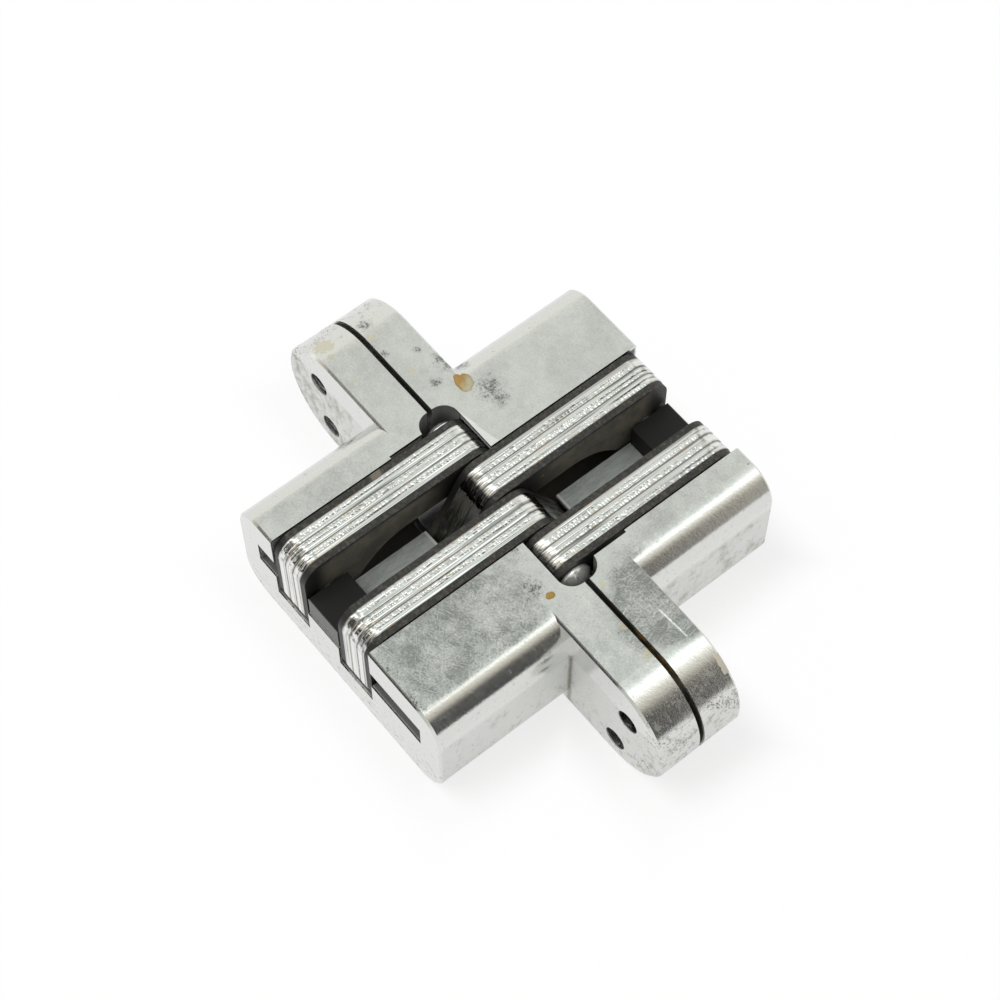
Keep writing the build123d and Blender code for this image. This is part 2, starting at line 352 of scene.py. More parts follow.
class CastingLook(bpy.types.PropertyGroup):
    """Finish of the two cast leaves."""

    clean: FloatVectorProperty(
        name="Clean metal", description="Bright satin plating",
        subtype="COLOR", default=(0.70, 0.705, 0.68))
    dull: FloatVectorProperty(
        name="Tarnish", description="Dull patches on handled faces",
        subtype="COLOR", default=(0.24, 0.246, 0.238))
    raw: FloatVectorProperty(
        name="Raw skin", description="Unplated skin inside the pocket and the slots",
        subtype="COLOR", default=(0.78, 0.84, 0.79))
    # Also the colour of painted highlights: the sheen on the flanks, the band by the fillets, the rib ends
    # and the glints in the screw holes
    bare_and_highlight: FloatVectorProperty(
        name="Bare metal", description="Fresh scratches and rubbed edges",
        subtype="COLOR", default=(0.86, 0.87, 0.85))
    dirt: FloatVectorProperty(
        name="Flank dirt", description="Streaks of dust on the flanks",
        subtype="COLOR", default=(0.30, 0.285, 0.24))
    stain: FloatVectorProperty(
        name="Stains", description="Thin amber stains on the rear side",
        subtype="COLOR", default=(0.52, 0.47, 0.26))
    filler: FloatVectorProperty(
        name="Chip", description="Cream face of a chip on the edge of an ear",
        subtype="COLOR", default=(0.62, 0.58, 0.46))
    # Colour of the painted shade at the bottom of the pocket
    grease: FloatVectorProperty(
        name="Old grease", description="Dark grease at the bottom of the pocket",
        subtype="COLOR", default=(0.09, 0.082, 0.066))
    # Colour of the grime in the recess of the pin head and of the painted shade in the gap
    recess_grime_and_gap_shade: FloatVectorProperty(
        name="Grime", description="Dark film in the gap and recesses",
        subtype="COLOR", default=(0.045, 0.040, 0.031))
    # Also the colour of the painted shade in the slots at the ends of the leaves
    dark_marks_and_slot_shade: FloatVectorProperty(
        name="Pits", description="Small dark pits and smudges on the casting",
        subtype="COLOR", default=(0.07, 0.066, 0.06))
    roughness: FloatProperty(
        name="Roughness", description="Roughness of the clean metal",
        subtype="FACTOR", default=0.13, min=0.0, max=1.0)


class LinkLook(bpy.types.PropertyGroup):
    """Finish of the laminated links, the pins, the slide blocks and the glue."""

    steel: FloatVectorProperty(
        name="Plated steel", description="Bright edges of the laminations",
        subtype="COLOR", default=(0.87, 0.87, 0.85))
    shade: FloatVectorProperty(
        name="Torn edge", description="Dark hollows in the torn part of a stamped edge",
        subtype="COLOR", default=(0.06, 0.059, 0.056))
    # Colour of the painted shade on the tails of the links
    tail_shade: FloatVectorProperty(
        name="Oil film", description="Dark film on the tails of the links",
        subtype="COLOR", default=(0.10, 0.098, 0.086))
    plastic: FloatVectorProperty(
        name="Side plates", description="Black plastic of the side plates and slide blocks",
        subtype="COLOR", default=(0.009, 0.0088, 0.0085))
    worn_plastic: FloatVectorProperty(
        name="Worn plastic", description="Pale outer end of the slide blocks",
        subtype="COLOR", default=(0.21, 0.21, 0.20))
    dust: FloatVectorProperty(
        name="Dried grease", description="Brown dust on the side plates and pins",
        subtype="COLOR", default=(0.24, 0.215, 0.17))
    amber: FloatVectorProperty(
        name="Amber residue", description="Dried glue and old grease",
        subtype="COLOR", default=(0.36, 0.215, 0.05))
    cream: FloatVectorProperty(
        name="Pale glue", description="Pale end of a drop of dried glue",
        subtype="COLOR", default=(0.50, 0.47, 0.31))
    crown: FloatProperty(
        name="Crown", description="Height of a stamped edge over the flat lamination",
        unit="LENGTH", default=0.20 * MM)
    corner: FloatProperty(
        name="Outer corner", description="Radius of the links' outer rear corner",
        unit="LENGTH", default=4.5 * MM)
    heel: FloatProperty(
        name="Heel", description="Height of the links' outer lower end",
        unit="LENGTH", default=9.0 * MM)
    heel_corner: FloatProperty(
        name="Heel corner", description="Radius of the links' outer lower corner",
        unit="LENGTH", default=1.5 * MM)
    step: FloatProperty(
        name="Step", description="Distance between points along a stamped edge",
        unit="LENGTH", default=0.10 * MM)


class StageLook(bpy.types.PropertyGroup):
    """Camera, lights and floor."""

    azimuth: FloatProperty(
        name="Azimuth", description="Camera's turn about the hinge",
        subtype="ANGLE", default=math.radians(-39.1))
    elevation: FloatProperty(
        name="Elevation", description="Camera's angle above the floor",
        subtype="ANGLE", default=math.radians(61.25))
    distance: FloatProperty(
        name="Distance", description="From the camera to the middle of the hinge",
        unit="LENGTH", default=0.490)
    target_height: FloatProperty(
        name="Target height", description="Height that the camera looks at",
        unit="LENGTH", default=0.01507)
    lens: FloatProperty(
        name="Lens", description="Focal length in millimetres on a 36 mm sensor",
        unit="CAMERA", default=89.0)
    shift_x: FloatProperty(
        name="Shift X", description="Sideways framing", default=-0.0067)
    shift_y: FloatProperty(
        name="Shift Y", description="Upward framing", default=0.0276)
    floor_size: FloatProperty(
        name="Floor", description="Width of the floor",
        unit="LENGTH", default=4.0)
    key_power: FloatProperty(
        name="Key light", description="Power of the large soft light",
        unit="POWER", default=4.6)
    fill_power: FloatProperty(
        name="Fill light", description="Power of the second soft light",
        unit="POWER", default=1.2)
    ambient: FloatProperty(
        name="Ambient", description="Light of the white room on matte surfaces",
        subtype="FACTOR", default=0.45, min=0.0, max=1.0)


def cast_leaf(look, amber):
    """Satin plated casting: dusty flanks with a painted sheen, tarnished and scratched rear side, painted
    highlights, dark film in the recess, painted shade in the gap, slots and pocket.
    """
    material, paint = new_material("cast_leaf")
    place = paint.millimetres()
    x, y, z = (paint.axis(place, name) for name in "XYZ")
    far_x = abs(x)
    far_y = abs(y)
    near_y = y * -1
    ragged = paint.noise(place, 0.9, 3.0, 0.6, 71.0)
    grain = paint.noise(place, 2.2, 4.0, 0.75, 5.0)
    mottle = paint.noise(place, 0.55, 4.0, 0.6, 13.0)
    broad = paint.noise(place, 0.12, 3.0, 0.6)

    # Clouds of tarnish on the flat rear side, most of it where hands wore the plating, little at the rim by
    # the fillets, where the rear side is painted lighter as a painted highlight
    flat = paint.fade(z, REAR_SIDE - 0.35, REAR_SIDE - 0.05)
    worn = [strength * paint.spot(x, y, middle, radius, broad) for middle, radius, strength in HANDLED]
    worn = paint.largest(worn)
    clouds = paint.fade(broad, 0.36, 0.64)
    tarnish = 0.11 + 0.14 * clouds + worn * (0.43 + 0.36 * clouds)
    tarnish = tarnish + (0.9 + 1.3 * worn) * (grain - 0.5) + (0.5 + 0.6 * worn) * (mottle - 0.5)
    # Rim along the fillets of the body: less tarnish and some bare metal there paint a highlight band
    rim = paint.fade(far_y, BODY_SIDE - 5.0, BODY_SIDE - 2.4)
    rim = rim * paint.fade(far_x, EAR_BACK + 0.1, EAR_BACK + 2.1)
    tarnish = tarnish * (1 - 0.75 * rim)
    tarnish = flat * tarnish + (1 - flat) * 0.5 * (grain - 0.45)
    color = paint.mix(tarnish, rgba(look.clean), rgba(look.dull))

    # Flanks painted lighter as a painted sheen, faint dust on them, more of it on the far ears and leaf B,
    # and dirt in the corners of the ears
    flank = (1 - paint.fade(z, 19.0, 21.5)) * (1 - paint.fade(far_x, LEAF_END - 0.6, LEAF_END - 0.1))
    drift = paint.noise(paint.stretch(place, (0.3, 0.3, 0.2)), 1.0, 5.0, 0.7, 17.0)
    more = 0.10 * paint.fade(y, 33.0, 40.0) + 0.06 * paint.fade(x, 8.0, 12.0)
    dusty = flank * paint.fade(drift + more, 0.52, 0.78)
    corner = paint.hypot(far_x - EAR_BACK, far_y - BODY_SIDE)
    corner = flank * (1 - paint.fade(corner + 1.5 * (ragged - 0.5), 0.2, 0.9))
    # Painted sheen: the flanks are lightened towards bare metal
    color = paint.mix(0.4 * flank, color, rgba(look.bare_and_highlight))
    color = paint.mix(paint.math("MAXIMUM", 0.65 * dusty, 0.7 * corner), color, rgba(look.dirt))

    # Fine scratches in several directions, one deep scratch, a strip rubbed bright beside the recess, and a
    # painted highlight along the rim by the fillets
    hatched = paint.largest([paint.hatch(x, y, angle, 3.0 + angle) for angle in HATCH_ANGLES])
    hatched = hatched * paint.fade(mottle, 0.36, 0.62)
    scored = abs(x - SCRATCH_START[0] + SCRATCH_LEAN * (y - SCRATCH_START[1]))
    scored = (1 - paint.fade(scored, 0.1, 0.3)) * paint.band(near_y, 37.0, 38.0, 44.6, 45.6)
    scored = scored * paint.fade(grain, 0.4, 0.55)
    filed = RECESS_SIDE + 0.21 * (19.9 - y) - x
    strip = paint.fade(filed, 0.0, 0.15) * paint.fade(y, 10.2, 10.5)
    strip = strip + (1 - paint.fade(abs(filed), 0.1, 0.3)) * paint.fade(y, 15.5, 16.5)
    rubbed = strip * paint.fade(x, RECESS_SIDE - 0.2, RECESS_SIDE)
    bright = paint.largest([(0.16 + 0.24 * worn) * hatched, scored, 0.7 * rubbed, 0.3 * rim])
    color = paint.mix(flat * bright, color, rgba(look.bare_and_highlight))

    # Pits and smears, most of them low on the casting, at the ends of the ears and along the outer edge
    low = 1 - paint.fade(z, 3.0, 16.0)
    ends = paint.fade(far_y, 48.0, 56.0) + 1.4 * flat * paint.fade(far_x, LEAF_END - 2.0, LEAF_END - 0.8)
    crowded = paint.fade(paint.noise(place, 0.22, 2.0, 0.5, 33.0), 0.42, 0.62)
    crowded = crowded * (0.3 + 0.4 * low + 0.8 * ends)
    pits = paint.fade(paint.noise(place, 2.1, 4.0, 0.75, 31.0) + 0.13 * crowded, 0.66, 0.74)
    grubby = paint.noise(place, 0.6, 5.0, 0.7, 35.0) + 0.06 * low + 0.09 * ends
    grubby = paint.fade(grubby, 0.58, 0.72) * (1 - flat)
    color = paint.mix(0.5 * grubby, color, rgba(look.dirt))
    color = paint.mix(0.85 * pits, color, rgba(look.dark_marks_and_slot_shade))

    # Dark smudges that thin out from their middles, amber stains, and a chip on the edge of an ear
    upper = paint.fade(z, 18.0, 20.0)
    smudged = paint.largest([paint.spot(x, y, middle, radius, ragged, 0.0) for middle, radius in SMUDGES])
    smudged = smudged * upper
    speckled = paint.fade(smudged, 0.0, 0.3) * paint.fade(0.2 * smudged + grain, 0.60, 0.74)
    smudged = 0.35 * smudged + 0.65 * speckled
    color = paint.mix(0.85 * smudged, color, rgba(look.dark_marks_and_slot_shade))
    stained = paint.largest([paint.spot(x, y, middle, radius, ragged) for middle, radius in STAINS])
    stained = stained * upper * (0.6 + 0.8 * (grain - 0.3))
    color = paint.mix(0.6 * stained, color, rgba(look.stain))
    chipped = paint.fade(x + 1.2 * (ragged - 0.5), 8.5, 8.7) * paint.fade(z, 16.0, 17.0)
    chipped = chipped * paint.band(near_y, 50.4, 50.9, 54.2, 54.4)
    color = paint.mix(chipped, color, rgba(look.filler))

    # Raw skin inside: pale on the ribs, their ends painted bright as a painted highlight, painted shade in
    # the slot at the outer end, and painted shade of the deep pocket below the rib tops
    inside = 1 - paint.fade(far_y, SLOT_END - 0.05, SLOT_END + 0.1)
    inside = inside * (1 - paint.fade(z, REAR_SIDE - 1.2, REAR_SIDE - 0.5))
    inside = inside * (1 - paint.fade(far_x, LEAF_END - 0.6, LEAF_END - 0.2))
    slid = paint.noise(paint.stretch(place, (0.35, 1.6, 0.6)), 1.0, 5.0, 0.75, 37.0)
    skin = paint.mix(0.2 + 0.5 * paint.fade(slid, 0.30, 0.75), rgba(look.raw), rgba(look.dull))
    # Rib ends lightened towards bare metal: a painted highlight on their rounded edges
    skin = paint.mix(1 - paint.fade(far_x, RIB_END + 0.4, RIB_END + 0.7), skin, rgba(look.bare_and_highlight))
    # Slot at the outer end of the leaf darkened: painted shade
    skin = paint.mix(0.85 * paint.fade(far_x, 37.0, 39.0), skin, rgba(look.dark_marks_and_slot_shade))
    # Below the rib tops the deep pocket is painted dark: painted shade
    shaded_pocket = inside * (1 - paint.fade(z, RIB_TOP - 1.3, RIB_TOP - 0.3))
    shaded_pocket = shaded_pocket * (1 - paint.fade(far_x, LEAF_END - 1.8, LEAF_END - 0.5))
    skin = paint.mix(shaded_pocket, skin, rgba(look.grease))
    color = paint.mix(inside, color, skin)

    # Turned walls of the screw holes, in rings of dull and bare metal; the bright rings are painted glints
    bored = paint.largest([paint.spot(far_y, z, hole, HOLE_REACH, 0.5) for hole in SCREW_HOLES])
    bored = bored * (1 - paint.fade(far_x, EAR_BACK - 0.4, EAR_BACK - 0.1))
    turned = paint.noise(paint.stretch(place, (2.4, 0.1, 0.1)), 1.0, 1.0, 0.5, 41.0)
    turned = paint.fade(turned, 0.44, 0.56)
    color = paint.mix(bored, color, paint.mix(turned, rgba(look.dull), rgba(look.bare_and_highlight)))

    # Painted shade on the gap faces, most of it near their rims, and grime in the recess of the pin head
    past_centre = paint.math("MAXIMUM", far_y - EAR_CENTRE, 0.0)
    depth = EAR_RADIUS - paint.hypot(past_centre, z - EAR_RADIUS)
    # The gap faces are painted dark near their rims: painted shade of the narrow gap
    gap = (1 - paint.fade(far_x, GAP_FACE + 0.002, GAP_FACE + 0.012)) * paint.fade(depth, 0.25, 0.55)
    gap = gap * (1 - 0.8 * paint.fade(depth + 3.0 * (mottle - 0.5), 2.2, 4.6))
    bowl = 1 - paint.fade(far_x, RECESS_SIDE - 0.05, RECESS_SIDE + 0.5)
    bowl = bowl * paint.band(far_y, 19.5, 20.2, RECESS_END - 0.1, RECESS_END + 0.6)
    bowl = bowl * (1 - paint.fade(z, REAR_SIDE - 0.5, REAR_SIDE - 0.1))
    recess_dirt_and_gap_shade = paint.math("MAXIMUM", gap, 0.75 * bowl)
    color = paint.mix(recess_dirt_and_gap_shade, color, rgba(look.recess_grime_and_gap_shade))

    # Old glue pressed into the gap at the near end
    pressed = gap * gap * paint.band(near_y, 36.0, 39.0, 49.0, 53.0)
    pressed = pressed * paint.fade(paint.noise(place, 0.5, 2.0, 0.5, 51.0), 0.42, 0.56)
    color = paint.mix(0.6 * pressed, color, rgba(amber))

    # What covers the metal is dull, and so is the raw skin
    covered = [recess_dirt_and_gap_shade, pits, 0.6 * smudged, 0.5 * stained, chipped, 0.5 * dusty, 0.4 * grubby]
    covered = paint.largest([*covered, (0.8 * inside + 0.25 * flank) * (1 - bored)])
    rough = look.roughness + 0.16 * flat + 0.30 * flank * (1 - bored)
    rough = rough + 0.12 * worn * flat + 0.3 * covered
    relief = (1.4 - 0.6 * flat) * grain + 0.5 * ragged - 0.3 * pits - 0.2 * hatched
    relief = relief + 1.5 * drift + bored * turned
    surface(
        paint,
        Base_Color=color,
        Metallic=1 - 0.9 * covered,
        Roughness=rough,
        Normal=paint.bump(relief, 0.04, 0.35),
    )
    return material


def lamination_steel(look, seed):
    """Plated steel of a lamination, with painted shade and drawn streaks on the tail."""
    material, paint = new_material("lamination_steel")
    place = paint.millimetres()
    x, z = (paint.axis(place, name) for name in "XZ")
    streaks = paint.noise(paint.stretch(place, (0.5, 5.0, 0.3)), 1.0, 3.0, 0.6, seed)
    tail = (1 - paint.fade(z, 20.0, 26.0)) * (1 - paint.fade(abs(x), 30.0, 36.0))
    # The tail deep in the pocket is painted dark: painted shade
    shaded_tail = tail * (0.95 - 0.6 * paint.fade(streaks, 0.5, 0.7))
    surface(
        paint,
        Base_Color=paint.mix(shaded_tail, rgba(look.steel), rgba(look.tail_shade)),
        Metallic=1.0,
        Roughness=0.2 + 0.22 * tail + 0.1 * streaks,
        Normal=paint.bump(streaks, 0.02, 0.3),
    )
    return material


def stamped_edge_steel(look, seed):
    """Stamped edge of a lamination: dark torn hollows, partly painted shade, old grease in the grooves, and
    a boss painted dark as painted shade.
    """
    material, paint = new_material("stamped_edge_steel")
    place = paint.millimetres()
    x, z = (paint.axis(place, name) for name in "XZ")
    hollow = paint.add("ShaderNodeAttribute", {"attribute_name": "hollow"}, None, "Fac")
    groove = paint.add("ShaderNodeAttribute", {"attribute_name": "groove"}, None, "Fac")
    rubbed = paint.noise(paint.stretch(place, (5.0, 0.8, 5.0)), 1.0, 2.0, 0.6, seed)
    # Hollows of the edge darkened: dull torn steel together with painted shade
    color = paint.mix(0.95 * hollow + 0.15 * rubbed, rgba(look.steel), rgba(look.shade))
    color = paint.mix(0.95 * groove, color, rgba(look.shade))
    residue = groove * paint.fade(paint.noise(place, 0.32, 2.0, 0.5, seed + 3.0), 0.52, 0.64)
    color = paint.mix(0.6 * residue, color, rgba(look.amber))
    # The boss's rounded end is painted near black in the plates' colour: painted shade
    boss = paint.band(abs(x), 1.6, 2.8, 5.6, 6.2)
    boss = boss * (1 - paint.fade(z, REAR_SIDE - 1.0, REAR_SIDE - 0.4))
    color = paint.mix(0.9 * boss, color, rgba(look.plastic))
    surface(
        paint,
        Base_Color=color,
        Metallic=1 - 0.8 * residue,
        Roughness=0.07 + 0.1 * hollow + 0.1 * rubbed + 0.2 * residue,
        Normal=paint.bump(rubbed, 0.012, 0.3),
    )
    return material


def side_plate_plastic(look):
    """Matte black plastic with scuffed edges, and dusty brown dried grease on its faces."""
    material, paint = new_material("side_plate_plastic")
    place = paint.millimetres()
    x, y, z = (paint.axis(place, name) for name in "XYZ")
    cloud = paint.fade(paint.noise(place, 0.16, 4.0, 0.65), 0.34, 0.62)
    fleck = paint.noise(place, 1.8, 3.0, 0.7, 9.0)
    below = 1 - paint.fade(z, REAR_SIDE - 1.2, REAR_SIDE - 0.3)
    within = paint.band(abs(x), 6.0, 14.0, 34.0, 39.0)
    dusty = below * within * (0.45 + 0.55 * cloud) * (0.6 + 0.8 * (fleck - 0.3))
    scuffs = (1 - below) * paint.fade(fleck, 0.42, 0.72)
    color = paint.mix(dusty, rgba(look.plastic), rgba(look.dust))
    color = paint.mix(0.3 * scuffs, color, rgba(look.dust))
    bits = below * paint.specks(place, 0.55, 0.32, 0.16, 5.0)
    color = paint.mix(0.6 * bits, color, rgba(look.amber))
    smear = (1 - below) * paint.spot(x, y, *SMEAR, fleck)
    color = paint.mix(0.6 * smear, color, rgba(look.dust))
    surface(
        paint,
        Base_Color=color,
        Metallic=0.0,
        Roughness=0.42 + 0.3 * dusty + 0.15 * fleck,
        Normal=paint.bump(fleck + bits, 0.04, 0.4),
    )
    return material


def block_plastic(look):
    """Matte black slide block, worn pale on its outer end."""
    material, paint = new_material("block_plastic")
    place = paint.millimetres()
    fleck = paint.noise(place, 1.2, 3.0, 0.7, 2.0)
    worn = paint.fade(abs(paint.axis(place, "X")), LEAF_END - 0.6, LEAF_END - 0.4)
    surface(
        paint,
        Base_Color=paint.mix(0.05 * fleck + 0.9 * worn, rgba(look.plastic), rgba(look.worn_plastic)),
        Metallic=0.0,
        Roughness=0.55 + 0.2 * fleck,
        Specular_IOR_Level=0.25,
        Normal=paint.bump(fleck, 0.03, 0.35),
    )
    return material


def pin_steel(look):
    """Turned steel with brown film on it."""
    material, paint = new_material("pin_steel")
    place = paint.millimetres()
    film = paint.fade(paint.noise(place, 0.5, 3.0, 0.6, 4.0), 0.55, 0.8)
    rings = paint.noise(paint.stretch(place, (0.2, 6.0, 0.2)), 1.0, 2.0, 0.5, 6.0)
    surface(
        paint,
        Base_Color=paint.mix(0.4 * film, rgba(look.steel), rgba(look.dust)),
        Metallic=0.8,
        Roughness=0.19 + 0.2 * film + 0.06 * rings,
        Normal=paint.bump(rings, 0.02, 0.3),
    )
    return material


def dried_glue(look):
    """Amber glue. The drop on leaf B is pale at one end."""
    material, paint = new_material("dried_glue")
    place = paint.millimetres()
    x, y = (paint.axis(place, name) for name in "XY")
    cloud = paint.noise(place, 0.8, 3.0, 0.6)
    pale = paint.fade(0.6 * x - y + 3.0 * (cloud - 0.5), -20.6, -17.4) * paint.fade(x, -1.0, 1.0)
    surface(
        paint,
        Base_Color=paint.mix(pale, rgba(look.amber), rgba(look.cream)),
        Metallic=0.0,
        Roughness=0.3 + 0.3 * cloud,
        Normal=paint.bump(cloud, 0.08, 0.4),
    )
    return material


def lattice_noise(seed, across, along):
    """Random heights on the whole-number points of a grid, joined by smooth steps between them."""
    low_u, low_v = np.floor(across).astype(int), np.floor(along).astype(int)
    table = np.random.default_rng(seed).random((np.ptp(low_u) + 2, np.ptp(low_v) + 2))
    share_u, share_v = across - low_u, along - low_v
    share_u = share_u**2 * (3 - 2 * share_u)
    share_v = share_v**2 * (3 - 2 * share_v)
    u, v = low_u - low_u.min(), low_v - low_v.min()
    near = table[u, v] * (1 - share_v) + table[u, v + 1] * share_v
    far = table[u + 1, v] * (1 - share_v) + table[u + 1, v + 1] * share_v
    return near * (1 - share_u) + far * share_u


def arc_points(center, radius, start, end, step):
    """Points on an arc in X and Z between two angles in degrees, a step apart, and their directions out."""
    count = max(3, round(abs(math.radians(end - start)) * radius / step))
    turn = np.radians(np.linspace(start, end, count, endpoint=False))
    out = np.stack([np.cos(turn), np.sin(turn)], axis=1)
    return np.array(center) + radius * out, out


def line_points(start, end, out, step):
    """Points on a straight line in X and Z, a step apart, with one outward direction."""
    count = max(2, round(math.dist(start, end) / step))
    share = np.linspace(0, 1, count, endpoint=False)[:, None]
    points = np.array(start) * (1 - share) + np.array(end) * share
    return points, np.broadcast_to(np.array(out, float), points.shape)


def link_outline(look):
    """Outline of an A link that shows: over the boss, along the rear side, round the corner, down the end.

    With each point come its outward direction, and how much of the edge there is torn and how much dented.
    """
    end_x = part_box("link1_lamination_1_a")[0].x
    boss = (CENTRE_PIN.x, CENTRE_PIN.z)
    corner = (end_x + look.corner, REAR - look.corner)
    heel = (end_x + look.heel_corner, look.heel + look.heel_corner)
    stretches = (
        (arc_points(boss, REAR - CENTRE_PIN.z, 5, 90, look.step), 0.3, 0.5),
        (line_points((boss[0], REAR), (corner[0], REAR), (0, 1), look.step), 1.0, 0.0),
        (arc_points(corner, look.corner, 90, 180, look.step), 0.4, 1.0),
        (line_points((end_x, corner[1]), (end_x, heel[1]), (-1, 0), look.step), 0.0, 0.0),
        (arc_points(heel, look.heel_corner, 180, 250, look.step), 0.0, 0.0),
    )
    points = np.concatenate([part[0] for part, torn, dented in stretches])
    out = np.concatenate([part[1] for part, torn, dented in stretches])
    torn = np.concatenate([np.full(len(part[0]), torn) for part, torn, dented in stretches])
    dented = np.concatenate([np.full(len(part[0]), dented) for part, torn, dented in stretches])
    smooth = np.full(SMOOTHING_POINTS, 1 / SMOOTHING_POINTS)
    return points, out, np.convolve(torn, smooth, "same"), np.convolve(dented, smooth, "same")


def edge_relief(along, across, torn, dented, seed, beading):
    """Height of a stamped edge from 0 to 1, along in millimetres, across from -1 to 1 over the thickness.

    A crowned edge with drawn lines along it, shear ripples over the half above a row of torn beads, and
    dents at the corner. With the height comes how hollow each place is, from 0 to 1.
    """
    lines = lattice_noise(seed, across * 5 + 9, along / 14.0)
    ripples = lattice_noise(seed + 1, across * 1.6 + 5, along / 0.28)
    wander = BEAD_ROWS[seed % 3] + 0.25 * (lattice_noise(seed + 2, across * 0, along / 2.5) - 0.5)
    row = np.exp(-(((across - wander) / 0.15) ** 2))
    land = np.clip((across - wander - 0.15) / 0.15, 0, 1) * np.clip((0.95 - across) / 0.15, 0, 1)
    beads = lattice_noise(seed + 3, across * 2.0 + 11, along / 0.24)
    runs = lattice_noise(seed + 4, across * 0, along / 3.0)
    beaded = torn * row * np.clip(beading + 1.2 * (runs - 0.5), 0, 1)
    dents = lattice_noise(seed + 5, across * 1.1 + 3, along / 0.75)
    height = 0.38 + 0.30 * (1 - np.abs(across) ** 3) + 0.28 * (lines - 0.5)
    height = height + 0.40 * torn * land * (ripples - 0.5)
    height = height + beaded * (0.75 * beads - 0.45) + 0.6 * dented * (dents - 0.5)
    drawn = 2.0 * (0.42 - lines) + 1.0 * torn * land * (0.42 - ripples)
    sunken = 1.8 * beaded * (0.7 - beads) + 1.5 * dented * (0.45 - dents)
    hollow = np.clip(drawn, 0, 1) + np.clip(sunken, 0, 1)
    return np.clip(height, 0.05, 1.1), np.clip(hollow, 0, 1)


def tube_faces(rings, sides):
    """Quads of a tube of rings, and the two polygons that close its ends."""
    ring = np.arange(rings - 1)[:, None] * sides
    side = np.arange(sides)[None, :]
    after = (side + 1) % sides
    quads = np.stack([ring + side, ring + after, ring + sides + after, ring + sides + side], axis=-1)
    first = list(range(sides))[::-1]
    last = list(range((rings - 1) * sides, rings * sides))
    return quads.reshape(-1, 4).tolist() + [first, last]


def new_piece(name, points, faces, body, material):
    """Smooth mesh piece at the origin that rides on a body."""
    mesh = bpy.data.meshes.new(name)
    mesh.from_pydata(points.reshape(-1, 3).tolist(), [], faces)
    mesh.shade_smooth()
    mesh.materials.append(material)
    piece = bpy.data.objects.new(name, mesh)
    bpy.context.scene.collection.objects.link(piece)
    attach(piece, body)
    return piece


def set_attribute(piece, name, values):
    """One number for each point of a piece, for its material to read."""
    attribute = piece.data.attributes.new(name, "FLOAT", "POINT")
    attribute.data.foreach_set("value", values.astype(np.float32).ravel())


def stamped_edge(look, side, link, lamination, material):
    """Skin on the edge of one lamination: its relief carried along the outline, closed in the steel."""
    seed = 17 * link + 5 * lamination + (100 if side == "b" else 0)
    node = f"link{link}_lamination_{lamination}_{side}"
    low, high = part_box(node)
    outline, out, torn, dented = link_outline(look)
    steps = np.linalg.norm(np.diff(outline, axis=0), axis=1)
    along = np.concatenate([[0.0], np.cumsum(steps)]) * PER_METRE

    profile = np.linspace(-1, 1, EDGE_POINTS)
    rows = np.broadcast_to(profile, (len(along), len(profile)))
    relief, hollow = edge_relief(along[:, None], rows, torn[:, None], dented[:, None], seed, BEADING[side])
    sunk = np.full((len(along), 1), EDGE_SUNK)
    heights = np.concatenate([sunk, relief, sunk], axis=1) * look.crown
    across = np.concatenate([profile[:1], profile, profile[-1:]])

    middle, half = (low.y + high.y) / 2, (high.y - low.y) / 2
    sign = SIDES[side]
    flat = outline[:, None, :] + out[:, None, :] * heights[:, :, None]
    points = np.empty((*heights.shape, 3))
    points[..., 0] = sign * flat[..., 0]
    points[..., 1] = middle + sign * half * across
    points[..., 2] = flat[..., 1]
    piece = new_piece(f"{node}_edge", points, tube_faces(*heights.shape), f"links_{side}", material)
    set_attribute(piece, "hollow", np.concatenate([0 * sunk, hollow, 0 * sunk], axis=1))
    set_attribute(piece, "groove", np.broadcast_to(np.abs(across) ** 5, heights.shape))


def glue_drop(index, leaf, x, y, radius_x, radius_y, height, material):
    """Flat lumpy dome with a wavy rim and one notch in it.

    The height falls as one minus the fourth power of the distance from the middle, times the lumps. The rim
    is a circle with three sine waves on it, less a bell curve about the notch.
    """
    rings, spokes = 16, 64
    notch = math.radians(68)
    turn = np.linspace(0, 2 * np.pi, spokes, endpoint=False)
    wave = 1 + 0.05 * np.sin(2 * turn + index) + 0.06 * np.sin(3 * turn + 2 * index)
    wave = wave + 0.03 * np.sin(7 * turn) - 0.26 * np.exp(-30 * (1 - np.cos(turn - notch)))
    reach = np.linspace(1, 0.02, rings)[:, None]
    lumps = 0.5 + 0.25 * np.sin(3 * reach * wave * np.cos(turn + index)) * np.cos(2 * turn)
    points = np.empty((rings, spokes, 3))
    points[..., 0] = (x + radius_x * reach * wave * np.cos(turn)) * MM
    points[..., 1] = (y + radius_y * reach * wave * np.sin(turn)) * MM
    points[..., 2] = REAR + height * MM * ((1 - reach**4) * (0.6 + 0.8 * lumps) - 0.3 * reach**8)
    new_piece(f"dried_glue_{leaf}", points, tube_faces(rings, spokes), f"leaf_{leaf}", material)


class HINGE_OT_cast_leaves(bpy.types.Operator):
    """Finish the two cast leaves"""

    bl_idname = "hinge.cast_leaves"
    bl_label = "Cast Leaves"

    def execute(self, context):
        material = cast_leaf(context.scene.hinge_casting, context.scene.hinge_links.amber)
        for side in SIDES:
            clad(NODES[f"leaf_{side}"], material)
        return {"FINISHED"}


